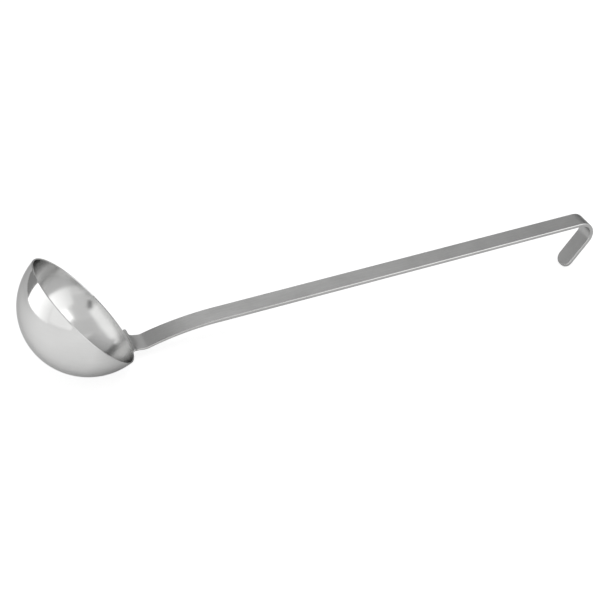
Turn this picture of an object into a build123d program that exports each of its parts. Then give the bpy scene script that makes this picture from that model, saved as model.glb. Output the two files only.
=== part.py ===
from build123d import *
import os
from math import asin, atan2, cos, degrees, hypot, radians, sin, sqrt, tan

# Soup ladle in stainless steel, lying on its bowl and on the tip of its hook.
# X runs along the handle, Z is up, and the XZ plane is the plane of symmetry.
# Lengths are in millimetres and angles in degrees.

# Bowl: a pressed spherical cup
rim_diameter = 100.0
bowl_depth = 45.7
bowl_wall = 1.2

# Weld: the ground seam between the bowl's rim and the foot of the handle.
# It starts below the rounded rim, which is cut away there.
seam_depth = 0.8
seam_height = 0.6
foot_half_width = 13.0

# Handle: a flat strip with rounded edges
strip_width = 15.8
strip_thickness = 3.0
edge_round = 0.7
straight_length = 308.5
handle_angle = 52.7

# Neck: a lip turned outwards, a short bend upwards and a long one back
neck_width = 17.3
neck_thickness = 1.8
lip_radius = 1.9
lip_dip_angle = 39.4
upturn_radius = 10.6
neck_rise_angle = 15.0
sweep_radius = 219.0

# Hook: an open bend with a straight leg and a rounded tip
hook_inner_radius = 9.6
hook_turn_angle = 128.5
leg_length = 29.4
tip_corner_radius = 7.0

# How the neck changes from the rim, 0, to the end of its short bend, 1.
# It curves across like the rim at first, then the other way, and ends flat.
neck_shares = (0.0, 0.12, 0.26, 0.5, 0.75, 0.92, 1.0)
crossing_shares = (1.0, 0.1, -1.0, -0.1, 0.0, 0.0, 0.0)
flare_power = 5
foot_corner_share = 0.15

# How it changes from there, 0, to the start of the straight strip, 1
sweep_shares = (0.0, 0.05, 0.5, 0.95, 1.0)
taper_power = 1.5

# Clear travel of the cutting shape past the metal
overrun = 2.0


def along(angle):
    """Unit vector that points at this angle in the side view."""
    return Vector(cos(radians(angle)), sin(radians(angle)))


def upper(angle):
    """Unit vector square to a strip that runs at this angle, on its upper side."""
    return Vector(-sin(radians(angle)), cos(radians(angle)))


# Bowl geometry, seen from the middle of the rim with the rim level
rim_radius = rim_diameter / 2
ball_radius = (rim_radius**2 + bowl_depth**2) / (2 * bowl_depth)
ball_height = ball_radius - bowl_depth
inner_ball_radius = ball_radius - bowl_wall
inner_rim_radius = sqrt(inner_ball_radius**2 - ball_height**2)
wall_lean = degrees(asin(ball_height / ball_radius))
seam_shift = seam_height * tan(radians(wall_lean))

# Side view of the handle's upper face, from the foot to the tip of the hook.
# The straight strip lies along the first axis and the middle of the rim is at zero.
rim_slope = -handle_angle
wall_angle = 90 - wall_lean - handle_angle
foot_point = (inner_rim_radius + seam_shift) * along(rim_slope) + seam_height * upper(rim_slope)
lip_centre = foot_point - lip_radius * upper(wall_angle)
lip_end = lip_centre + lip_radius * upper(-lip_dip_angle)
upturn_centre = lip_end + upturn_radius * upper(-lip_dip_angle)
upturn_end = upturn_centre - upturn_radius * upper(neck_rise_angle)
sweep_centre = upturn_end - sweep_radius * upper(neck_rise_angle)
straight_start = sweep_centre + sweep_radius * upper(0)
straight_end = straight_start + straight_length * along(0)
hook_outer_radius = hook_inner_radius + strip_thickness
hook_centre = straight_end - hook_outer_radius * upper(0)
leg_angle = -hook_turn_angle
leg_start = hook_centre + hook_outer_radius * upper(leg_angle)
leg_end = leg_start + leg_length * along(leg_angle)

# Lengths of the neck's first two bends along the upper face
lip_length = lip_radius * radians(wall_angle + lip_dip_angle)
upturn_length = upturn_radius * radians(lip_dip_angle + neck_rise_angle)

# The ladle lies on the ball of its bowl and on the rounded corner of its tip
ball_centre = ball_height * upper(rim_slope)
tip_centre = leg_end - edge_round * (upper(leg_angle) + along(leg_angle))
span = tip_centre - ball_centre
floor_slope = degrees(atan2(span.Y, span.X) + asin((ball_radius - edge_round) / hypot(span.X, span.Y)))
handle_tilt = -floor_slope


def lying(point):
    """Turns a point of the side view so that the floor is level."""
    return point.rotate(Axis.Z, handle_tilt)


bowl_end = lying(ball_centre).X - ball_radius
hook_end = lying(hook_centre).X + hook_outer_radius
side_origin = Vector(-(bowl_end + hook_end) / 2, 0, ball_radius - lying(ball_centre).Y)


def tilted(angle):
    """Direction in space of an angle of the side view."""
    turned = along(angle + handle_tilt)
    return Vector(turned.X, 0, turned.Y)


side_plane = Plane(origin=side_origin, x_dir=tilted(0), z_dir=(0, -1, 0))
bowl_plane = Plane(origin=side_origin, x_dir=tilted(rim_slope), z_dir=(0, -1, 0))
bowl_axis = Axis(side_origin, bowl_plane.y_dir)
seam_half_angle = degrees(foot_half_width / (inner_rim_radius + seam_shift))
seam_side_plane = Plane(
    origin=side_origin,
    x_dir=bowl_plane.x_dir.rotate(bowl_axis, seam_half_angle),
    z_dir=bowl_plane.z_dir.rotate(bowl_axis, seam_half_angle),
)

os.makedirs("parts", exist_ok=True)

# Bowl: a shell turned about its own axis with a rounded rim, cut away for the weld
rim_round = bowl_wall / 2
wall_middle_radius = ball_radius - rim_round
round_angle = -degrees(asin((ball_height + rim_round) / wall_middle_radius))
round_centre = Vector(0, ball_height) + wall_middle_radius * along(round_angle)
seam_outer_radius = sqrt(ball_radius**2 - (ball_height + seam_depth) ** 2)
seam_inner_radius = sqrt(inner_ball_radius**2 - (ball_height + seam_depth) ** 2)
cut_near = seam_inner_radius - overrun
cut_far = seam_outer_radius + overrun

with BuildPart() as bowl:
    with BuildSketch(bowl_plane):
        with BuildLine():
            CenterArc((0, ball_height), ball_radius, -90, 90 + round_angle)
            CenterArc(round_centre, rim_round, round_angle, 180)
            CenterArc((0, ball_height), inner_ball_radius, -90, 90 + round_angle)
            Line((0, -bowl_depth), (0, bowl_wall - bowl_depth))
        make_face()
    revolve(axis=bowl_axis)
    with BuildSketch(seam_side_plane):
        with BuildLine():
            Polyline(
                (cut_near, -seam_depth), (cut_far, -seam_depth), (cut_far, overrun), (cut_near, overrun), close=True
            )
        make_face()
    revolve(axis=bowl_axis, revolution_arc=-2 * seam_half_angle, mode=Mode.SUBTRACT)
bowl.part.label = "bowl"
export_step(bowl.part, "parts/bowl.step")

# Weld seam: a short run of the same wall between the bowl and the foot
with BuildPart() as weld_seam:
    with BuildSketch(seam_side_plane):
        with BuildLine():
            Polyline(
                (seam_inner_radius, -seam_depth),
                (seam_outer_radius, -seam_depth),
                (rim_radius + seam_shift, seam_height),
                (inner_rim_radius + seam_shift, seam_height),
                close=True,
            )
        make_face()
    revolve(axis=bowl_axis, revolution_arc=-2 * seam_half_angle)
weld_seam.part.label = "weld_seam"
export_step(weld_seam.part, "parts/weld_seam.step")


def neck_station(share):
    """Point and heading on the handle's upper face at a share of the neck's first two bends."""
    run = share * (lip_length + upturn_length)
    if run <= lip_length:
        angle = wall_angle - degrees(run / lip_radius)
        return lip_centre + lip_radius * upper(angle), angle
    angle = degrees((run - lip_length) / upturn_radius) - lip_dip_angle
    return upturn_centre - upturn_radius * upper(angle), angle


def station_plane(point, angle):
    """Plane square to a strip that runs at this angle through a point of the side view."""
    return Plane(side_plane.from_local_coords(point), x_dir=(0, 1, 0), z_dir=tilted(angle))


# Handle: the straight strip with its hook, the long bend and the flared neck
under_straight_end = straight_end - strip_thickness * upper(0)

with BuildPart() as handle:
    with BuildSketch(side_plane):
        with BuildLine():
            Line(straight_start, straight_end)
            JernArc(straight_end, along(0), hook_outer_radius, -hook_turn_angle)
            tip_outer = Line(leg_start, leg_end) @ 1
            inner_bend = JernArc(under_straight_end, along(0), hook_inner_radius, -hook_turn_angle)
            tip_inner = Line(inner_bend @ 1, inner_bend @ 1 + leg_length * along(leg_angle)) @ 1
            Line(tip_outer, tip_inner)
            straight_foot = Line(under_straight_end, straight_start - strip_thickness * upper(0)) @ 1
            Line(straight_foot, straight_start)
        make_face()
    extrude(amount=strip_width / 2, both=True)
    tip_point = side_plane.from_local_coords(leg_end)
    tip_face = handle.faces().sort_by(lambda face: (face.center() - tip_point).length)[0]
    fillet(tip_face.edges().filter_by(Axis.Y, reverse=True), radius=tip_corner_radius)
    long_edges = handle.edges().filter_by(GeomType.LINE).sort_by(Edge.length)[-4:]
    fillet(long_edges.sort_by(Axis.Y)[-2:], radius=edge_round)

    for share in sweep_shares:
        angle = neck_rise_angle * (1 - share)
        point = sweep_centre + sweep_radius * upper(angle)
        width = strip_width + (neck_width - strip_width) * (1 - share) ** taper_power
        thickness = neck_thickness + (strip_thickness - neck_thickness) * share
        with BuildSketch(station_plane(point, angle)) as station:
            Rectangle(width, thickness, align=(Align.CENTER, Align.MAX))
            fillet(station.vertices(), radius=edge_round)
    loft()

    for share, crossing_share in zip(neck_shares, crossing_shares):
        point, angle = neck_station(share)
        thickness = bowl_wall + (neck_thickness - bowl_wall) * share
        corner = edge_round * thickness / neck_thickness
        half_width = neck_width / 2 + (foot_half_width - neck_width / 2) * (1 - share) ** flare_power
        if share == 0:
            angle = 90 + rim_slope
            thickness = rim_radius - inner_rim_radius
            corner = corner * foot_corner_share
        lift = crossing_share * half_width**2 / (2 * (inner_rim_radius + seam_shift))
        under = lift - thickness
        with BuildSketch(station_plane(point, angle)) as station:
            with BuildLine():
                upper_line = Bezier((-half_width, lift), (0, -lift), (half_width, lift))
                lower_line = Bezier((-half_width, under), (0, -lift - thickness), (half_width, under))
                Line(upper_line @ 0, lower_line @ 0)
                Line(upper_line @ 1, lower_line @ 1)
            make_face()
            fillet(station.vertices(), radius=corner)
    loft()
handle.part.label = "handle"
export_step(handle.part, "parts/handle.step")
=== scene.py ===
from math import cos, radians, sin

import bpy
from bpy.props import FloatProperty, FloatVectorProperty, PointerProperty
from bpy.types import Operator, Panel, PropertyGroup
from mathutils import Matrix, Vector

bl_info = {
    "name": "Soup Ladle",
    "version": (1, 0, 0),
    "blender": (4, 5, 0),
    "location": "3D View > Sidebar > Ladle",
    "description": "Steel finishes, studio, lights and camera for a soup ladle",
    "category": "Object",
}

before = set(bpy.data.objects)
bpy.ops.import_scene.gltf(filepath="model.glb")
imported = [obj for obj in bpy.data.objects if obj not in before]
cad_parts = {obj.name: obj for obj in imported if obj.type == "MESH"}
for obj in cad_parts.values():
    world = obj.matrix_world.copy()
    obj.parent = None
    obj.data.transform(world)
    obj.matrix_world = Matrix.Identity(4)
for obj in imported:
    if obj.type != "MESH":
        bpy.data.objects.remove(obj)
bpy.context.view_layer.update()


class LadleSteelSettings(PropertyGroup):
    bowl_color: FloatVectorProperty(
        name="Bowl steel",
        description="Colour of the bowl's steel",
        default=(0.61, 0.61, 0.605),
        subtype="COLOR",
        min=0,
        max=1,
    )
    handle_color: FloatVectorProperty(
        name="Handle steel",
        description="Colour of the handle's steel",
        default=(0.585, 0.585, 0.58),
        subtype="COLOR",
        min=0,
        max=1,
    )
    ball_centre: FloatVectorProperty(
        name="Ball centre",
        description="Middle of the ball that the bowl is a part of",
        default=(-0.184114, 0, 0.0502023),
        subtype="TRANSLATION",
        unit="LENGTH",
    )
    ball_radius: FloatProperty(
        name="Ball radius",
        description="Radius of the bowl's outer face",
        default=0.0502023,
        unit="LENGTH",
    )
    wall: FloatProperty(
        name="Wall",
        description="Thickness of the bowl's sheet",
        default=0.0012,
        unit="LENGTH",
    )
    bowl_lean: FloatProperty(
        name="Bowl lean",
        description="Angle between the bowl's axis and upright, towards the handle",
        default=radians(48.53),
        subtype="ANGLE",
    )
    strip_rise: FloatProperty(
        name="Strip rise",
        description="Angle between the handle and the floor",
        default=radians(4.1698),
        subtype="ANGLE",
    )


class LadleStageSettings(PropertyGroup):
    camera_place: FloatVectorProperty(
        name="Camera place",
        description="Where the camera stands",
        default=(-0.38376, -0.76426, 0.64500),
        subtype="TRANSLATION",
        unit="LENGTH",
    )
    camera_turn: FloatVectorProperty(
        name="Camera turn",
        description="How the camera is turned",
        default=(radians(53.3692), radians(-3.5770), radians(-22.7821)),
        subtype="EULER",
    )
    lens: FloatProperty(
        name="Lens",
        description="Focal length in millimetres on a sensor 36 mm wide",
        default=83.286,
    )
    strip_middle: FloatVectorProperty(
        name="Strip middle",
        description="Place on the strip that its cards are aimed at",
        default=(0.07, 0, 0.033),
        subtype="TRANSLATION",
        unit="LENGTH",
    )
    hook_middle: FloatVectorProperty(
        name="Hook middle",
        description="Place in the hook that its card is aimed at",
        default=(0.22, 0, 0.03),
        subtype="TRANSLATION",
        unit="LENGTH",
    )
    lamp_power: FloatProperty(
        name="Lamp power",
        description="Power in watts of the lamp over the ladle",
        default=14,
    )


class Nodes:
    """Adds shader nodes to one material or world and links them."""

    def __init__(self, owner):
        owner.use_nodes = True
        self.tree = owner.node_tree
        self.tree.nodes.clear()

    def add(self, kind, **values):
        node = self.tree.nodes.new(kind)
        for name, value in values.items():
            setattr(node, name, value)
        return node

    def link(self, start, end):
        self.tree.links.new(start, end)

    def feed(self, socket, value):
        """Sets a socket to a number or colour, or links another node's output to it."""
        if isinstance(value, (int, float, tuple)):
            socket.default_value = value
        else:
            self.link(value, socket)

    def finish(self, kind, surface):
        output = self.add(kind)
        self.link(surface, output.inputs["Surface"])

    def math(self, operation, *inputs):
        node = self.add("ShaderNodeMath", operation=operation)
        for socket, value in zip(node.inputs, inputs):
            self.feed(socket, value)
        return node.outputs[0]

    def noise(self, vector, scale, detail=3.0, roughness=0.5):
        node = self.add("ShaderNodeTexNoise")
        node.inputs["Scale"].default_value = scale
        node.inputs["Detail"].default_value = detail
        node.inputs["Roughness"].default_value = roughness
        self.link(vector, node.inputs["Vector"])
        return node.outputs["Fac"]

    def spread(self, value, from_low, from_high, to_low, to_high):
        """Maps one range of a value evenly onto another, and holds it at their ends."""
        node = self.add("ShaderNodeMapRange")
        node.inputs["From Min"].default_value = from_low
        node.inputs["From Max"].default_value = from_high
        node.inputs["To Min"].default_value = to_low
        node.inputs["To Max"].default_value = to_high
        self.link(value, node.inputs["Value"])
        return node.outputs["Result"]

    def blend_color(self, factor, first, second):
        node = self.add("ShaderNodeMix", data_type="RGBA")
        for socket, value in zip((node.inputs[0], node.inputs[6], node.inputs[7]), (factor, first, second)):
            self.feed(socket, value)
        return node.outputs[2]

    def blend_value(self, factor, first, second):
        node = self.add("ShaderNodeMix", data_type="FLOAT")
        for socket, value in zip((node.inputs[0], node.inputs[2], node.inputs[3]), (factor, first, second)):
            self.feed(socket, value)
        return node.outputs[0]

    def bump(self, height, strength, distance):
        node = self.add("ShaderNodeBump")
        node.inputs["Strength"].default_value = strength
        node.inputs["Distance"].default_value = distance
        self.link(height, node.inputs["Height"])
        return node.outputs["Normal"]

    def object_place(self, centre=(0, 0, 0), turn=(0, 0, 0), scale=(1, 1, 1)):
        """Object coordinates moved so that centre is at zero, then turned and scaled."""
        place = self.add("ShaderNodeTexCoord").outputs["Object"]
        shift = self.add("ShaderNodeVectorMath", operation="SUBTRACT")
        self.link(place, shift.inputs[0])
        shift.inputs[1].default_value = centre
        mapping = self.add("ShaderNodeMapping", vector_type="POINT")
        self.link(shift.outputs[0], mapping.inputs["Vector"])
        mapping.inputs["Rotation"].default_value = turn
        mapping.inputs["Scale"].default_value = scale
        return mapping.outputs["Vector"]

    def object_axes(self):
        """Object coordinates as separate X, Y and Z."""
        axes = self.add("ShaderNodeSeparateXYZ")
        self.link(self.add("ShaderNodeTexCoord").outputs["Object"], axes.inputs[0])
        return axes.outputs


def shade(color, share=1.0):
    """Opaque colour at this share of the brightness."""
    return (*(part * share for part in color), 1.0)


def steel(name):
    """Material with a bare metal shader, and its nodes and shader."""
    material = bpy.data.materials.new(name)
    nodes = Nodes(material)
    shader = nodes.add("ShaderNodeBsdfPrincipled")
    shader.inputs["Metallic"].default_value = 1.0
    shader.inputs["Specular Tint"].default_value = (0.6, 0.6, 0.6, 1)
    nodes.finish("ShaderNodeOutputMaterial", shader.outputs["BSDF"])
    return material, nodes, shader


def bowl_steel(settings):
    """Polished outside and satin inside, with faint polishing lines round the bowl."""
    material, nodes, shader = steel("bowl_steel_finish")
    place = nodes.object_place(settings.ball_centre)
    distance = nodes.add("ShaderNodeVectorMath", operation="LENGTH")
    nodes.link(place, distance.inputs[0])
    satin_ends = settings.ball_radius - settings.wall + 0.0004
    polish_starts = settings.ball_radius - 0.0003
    outside = nodes.spread(distance.outputs["Value"], satin_ends, polish_starts, 0.0, 1.0)

    clouds = nodes.noise(place, 45, detail=4)
    level_bowl = (0, -settings.bowl_lean, 0)
    rings = nodes.noise(nodes.object_place(settings.ball_centre, turn=level_bowl, scale=(30, 30, 3000)), 1.0)

    inside_rough = nodes.spread(clouds, 0.3, 0.7, 0.15, 0.20)
    outside_rough = nodes.spread(clouds, 0.3, 0.7, 0.08, 0.12)
    nodes.link(nodes.blend_value(outside, inside_rough, outside_rough), shader.inputs["Roughness"])

    cloudy = nodes.spread(clouds, 0.35, 0.75, 0.0, 1.0)
    tint = nodes.blend_color(cloudy, shade(settings.bowl_color), shade(settings.bowl_color, 0.95))
    lined = nodes.blend_color(nodes.spread(rings, 0.35, 0.7, 0.0, 0.5), tint, shade(settings.bowl_color, 0.93))
    nodes.link(lined, shader.inputs["Base Color"])
    nodes.link(nodes.bump(rings, 0.03, 0.00003), shader.inputs["Normal"])
    return material


def handle_steel(settings):
    """Satin strip, brushed along its length, with smoother edges, smudges and a dull neck."""
    material, nodes, shader = steel("handle_steel_finish")
    place = nodes.object_place()
    lines = nodes.noise(
        nodes.object_place(turn=(0, settings.strip_rise, 0), scale=(12, 900, 900)), 1.0, detail=3, roughness=0.6
    )
    grain = nodes.noise(place, 1400, detail=2)
    smudges = nodes.noise(place, 45, detail=5, roughness=0.6)

    axes = nodes.object_axes()
    ground_neck_ends, satin_strip_starts = -0.148, -0.128
    near_weld = nodes.spread(axes["X"], ground_neck_ends, satin_strip_starts, 1.0, 0.0)
    face_ends, edge_starts = 0.0071, 0.0076
    edge = nodes.spread(nodes.math("ABSOLUTE", axes["Y"]), face_ends, edge_starts, 0.0, 1.0)
    strip_edge = nodes.math("MULTIPLY", edge, nodes.math("SUBTRACT", 1.0, near_weld))

    brushed_rough = nodes.spread(lines, 0.3, 0.7, 0.33, 0.43)
    face_rough = nodes.math("ADD", brushed_rough, nodes.math("MULTIPLY", near_weld, 0.08))
    edge_rough = 0.17
    nodes.link(nodes.blend_value(strip_edge, face_rough, edge_rough), shader.inputs["Roughness"])

    smudged = nodes.spread(smudges, 0.45, 0.75, 0.0, 1.0)
    tint = nodes.blend_color(smudged, shade(settings.handle_color), shade(settings.handle_color, 0.88))
    brushed = nodes.spread(lines, 0.35, 0.65, 0.0, 0.28)
    fine = nodes.blend_color(brushed, tint, shade(settings.handle_color, 0.75))
    ground = nodes.blend_color(near_weld, fine, shade(settings.handle_color, 0.85))
    nodes.link(ground, shader.inputs["Base Color"])

    height = nodes.math("ADD", nodes.math("MULTIPLY", lines, 0.7), nodes.math("MULTIPLY", grain, 0.3))
    nodes.link(nodes.bump(height, 0.12, 0.0001), shader.inputs["Normal"])
    return material


def weld_steel(settings):
    """Weld ground flush and brushed over, as the metal beside it."""
    material, nodes, shader = steel("weld_steel_finish")
    clouds = nodes.noise(nodes.object_place(), 300, detail=4)
    nodes.link(nodes.spread(clouds, 0.3, 0.7, 0.26, 0.36), shader.inputs["Roughness"])
    tint = nodes.blend_color(clouds, shade(settings.bowl_color), shade(settings.bowl_color, 0.92))
    nodes.link(tint, shader.inputs["Base Color"])
    return material


def give_material(node, material):
    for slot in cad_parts[node].material_slots:
        slot.material = material


def toward(azimuth, elevation, distance, start):
    """Point at this distance from start, azimuth from +X and elevation in degrees."""
    flat = cos(radians(elevation))
    direction = Vector((flat * cos(radians(azimuth)), flat * sin(radians(azimuth)), sin(radians(elevation))))
    return start + distance * direction


def glow_card(name, aim, azimuth, elevation, distance, size, glow, far_glow=None):
    """Flat card that only reflections see. With far_glow it changes evenly to that along its X."""
    place = toward(azimuth, elevation, distance, aim)
    turn = (aim - place).to_track_quat("Z", "Y").to_euler()
    bpy.ops.object.select_all(action="DESELECT")
    bpy.ops.mesh.primitive_plane_add(size=1, location=place, rotation=turn)
    card = bpy.context.object
    card.name = name
    card.scale = (*size, 1)
    bpy.ops.object.transform_apply(location=False, rotation=False, scale=True)

    material = bpy.data.materials.new(name + "_glow")
    nodes = Nodes(material)
    shader = nodes.add("ShaderNodeEmission")
    shader.inputs["Color"].default_value = (1, 1, 1, 1)
    shader.inputs["Strength"].default_value = glow
    if far_glow is not None:
        half = size[0] / 2
        strength = nodes.spread(nodes.object_axes()["X"], -half, half, glow, far_glow)
        nodes.link(strength, shader.inputs["Strength"])
    nodes.finish("ShaderNodeOutputMaterial", shader.outputs[0])
    card.data.materials.append(material)

    card.visible_camera = False
    card.visible_diffuse = False
    card.visible_shadow = False


class LADLE_OT_finish_bowl(Operator):
    """Give the bowl its polished outside and satin inside, and the weld its ground face"""
    bl_idname = "ladle.finish_bowl"
    bl_label = "Finish Bowl"

    def execute(self, context):
        settings = context.scene.ladle_steel
        give_material("bowl", bowl_steel(settings))
        give_material("weld_seam", weld_steel(settings))
        return {"FINISHED"}


class LADLE_OT_finish_handle(Operator):
    """Give the handle its brushed steel"""
    bl_idname = "ladle.finish_handle"
    bl_label = "Finish Handle"

    def execute(self, context):
        give_material("handle", handle_steel(context.scene.ladle_steel))
        return {"FINISHED"}


class LADLE_OT_set_stage(Operator):
    """Add the white floor and background, the cards, the lamp and the camera"""
    bl_idname = "ladle.set_stage"
    bl_label = "Set Stage"

    def execute(self, context):
        settings = context.scene.ladle_stage
        self.make_floor()
        self.make_world(context.scene)
        self.make_cards(Vector(context.scene.ladle_steel.ball_centre), settings)
        self.make_lamp(settings)
        self.place_camera(context.scene, settings)
        context.scene.view_settings.view_transform = "Standard"
        return {"FINISHED"}

    def make_floor(self):
        """White in the view. In reflections it has a painted shadow of the ladle behind it and on the handle's
        side, and a little painted light left of the bowl.
        """
        bpy.ops.object.select_all(action="DESELECT")
        bpy.ops.mesh.primitive_plane_add(size=6, location=(0, 0, 0))
        floor = bpy.context.object
        floor.name = "floor"
        material = bpy.data.materials.new("floor_white")
        nodes = Nodes(material)
        path = nodes.add("ShaderNodeLightPath").outputs
        reflected = nodes.math("MAXIMUM", path["Is Glossy Ray"], path["Is Transmission Ray"])

        axes = nodes.object_axes()
        # Painted shade and light: the glow that metal sees in the floor is dimmed behind the ladle and on the
        # handle's side, where the ladle's shadow falls, and raised left of the bowl.
        painted_shade_by_depth = nodes.spread(axes["Y"], 0.0, 0.25, 0.34, 0.04)
        painted_light_at_left = nodes.spread(axes["X"], -0.30, -0.19, 0.08, -0.02)
        painted_shade_at_right = nodes.spread(axes["X"], -0.20, -0.15, 0.0, -0.36)
        painted_light_and_shade_by_side = nodes.math("ADD", painted_light_at_left, painted_shade_at_right)
        reflected_glow_with_painted_shade = nodes.math("MAXIMUM", nodes.math("ADD", painted_shade_by_depth, painted_light_and_shade_by_side), 0.0)
        glow_and_painted_shade_in_metal = nodes.math("MULTIPLY", reflected, reflected_glow_with_painted_shade)
        glow_in_view = nodes.math("MULTIPLY", path["Is Camera Ray"], 0.86)
        glow = nodes.add("ShaderNodeEmission")
        nodes.link(nodes.math("ADD", glow_and_painted_shade_in_metal, glow_in_view), glow.inputs["Strength"])

        paint = nodes.add("ShaderNodeBsdfDiffuse")
        paint_in_view, paint_in_metal = (0.3, 0.3, 0.3, 1), (0.85, 0.85, 0.85, 1)
        nodes.link(nodes.blend_color(reflected, paint_in_view, paint_in_metal), paint.inputs["Color"])
        both = nodes.add("ShaderNodeAddShader")
        nodes.link(paint.outputs[0], both.inputs[0])
        nodes.link(glow.outputs[0], both.inputs[1])
        nodes.finish("ShaderNodeOutputMaterial", both.outputs[0])
        floor.data.materials.append(material)

    def make_world(self, scene):
        """White for the camera, reflections and glass, and dimmer for all other light."""
        world = bpy.data.worlds.new("white_room")
        scene.world = world
        nodes = Nodes(world)
        path = nodes.add("ShaderNodeLightPath").outputs
        seen = nodes.math("MAXIMUM", path["Is Camera Ray"], path["Is Glossy Ray"])
        seen = nodes.math("MAXIMUM", seen, path["Is Transmission Ray"])
        light_strength, seen_strength = 0.6, 1.0
        background = nodes.add("ShaderNodeBackground")
        background.inputs["Color"].default_value = (1, 1, 1, 1)
        strength = nodes.blend_value(seen, light_strength, seen_strength)
        nodes.link(strength, background.inputs["Strength"])
        nodes.finish("ShaderNodeOutputWorld", background.outputs[0])

    def make_cards(self, ball, settings):
        """Each card has a name, an aim, an azimuth, an elevation, a distance, a size and its glow."""
        strip = Vector(settings.strip_middle)
        hook = Vector(settings.hook_middle)
        for card in (
            ("left_softbox", ball, 170, 8, 0.55, (0.51, 0.31), 1.2, 2.4),
            ("left_wall", ball, 212, 6, 0.95, (0.60, 0.66), 1.32),
            ("overhead_left_softbox", ball, 190, 51, 0.9, (1.5, 0.55), 1.38),
            ("right_softbox", ball, -52, 10, 0.9, (0.73, 0.66), 1.9, 1.2),
            ("dark_flag", ball, 129, 8, 0.8, (0.45, 0.60), 0.36),
            ("back_wall_left", ball, 106, 25, 1.0, (0.5, 1.5), 0.18),
            ("ceiling_back", ball, 120, 69, 1.0, (0.9, 0.75), 0.95, 0.30),
            ("ceiling_front", ball, -85, 72, 1.0, (0.7, 0.5), 0.78),
            ("back_wall_right", strip, 62, 38, 1.2, (1.5, 1.4), 0.93, 0.17),
            ("back_wall_low", strip, 64, 4, 1.1, (1.6, 0.35), 0.12),
            ("strip_softbox", strip, -50, 42, 1.0, (0.7, 0.6), 2.0),
            ("low_flag", hook, 30, 2, 0.9, (1.4, 0.7), 0.15),
            ("front_wall", ball, -88, 36, 1.3, (0.75, 1.0), 0.85),
            ("camera_body", ball, -107, 34, 0.75, (0.11, 0.19), 0.25),
        ):
            glow_card(*card)

    def make_lamp(self, settings):
        bpy.ops.object.select_all(action="DESELECT")
        bpy.ops.object.light_add(type="AREA", location=(0, -0.3, 2.2))
        lamp = bpy.context.object
        lamp.name = "top_softbox"
        lamp.data.shape = "RECTANGLE"
        lamp.data.size = 2.0
        lamp.data.size_y = 2.0
        lamp.data.energy = settings.lamp_power
        lamp.visible_glossy = False

    def place_camera(self, scene, settings):
        bpy.ops.object.select_all(action="DESELECT")
        bpy.ops.object.camera_add(location=settings.camera_place, rotation=settings.camera_turn)
        camera = bpy.context.object
        camera.name = "photo_camera"
        camera.data.sensor_width = 36
        camera.data.lens = settings.lens
        camera.data.clip_start = 0.01
        scene.camera = camera


class LADLE_PT_panel(Panel):
    bl_label = "Soup Ladle"
    bl_space_type = "VIEW_3D"
    bl_region_type = "UI"
    bl_category = "Ladle"

    def draw(self, context):
        layout = self.layout
        for settings in (context.scene.ladle_steel, context.scene.ladle_stage):
            box = layout.box()
            for name in settings.__annotations__:
                box.prop(settings, name)
        for operator in OPERATORS:
            layout.operator(operator.bl_idname)


OPERATORS = (LADLE_OT_finish_bowl, LADLE_OT_finish_handle, LADLE_OT_set_stage)
CLASSES = (LadleSteelSettings, LadleStageSettings, *OPERATORS, LADLE_PT_panel)


def register():
    for cls in CLASSES:
        bpy.utils.register_class(cls)
    bpy.types.Scene.ladle_steel = PointerProperty(type=LadleSteelSettings)
    bpy.types.Scene.ladle_stage = PointerProperty(type=LadleStageSettings)


def unregister():
    del bpy.types.Scene.ladle_stage
    del bpy.types.Scene.ladle_steel
    for cls in reversed(CLASSES):
        bpy.utils.unregister_class(cls)


def main():
    register()
    bpy.ops.ladle.finish_bowl()
    bpy.ops.ladle.finish_handle()
    bpy.ops.ladle.set_stage()


if __name__ == "__main__":
    main()
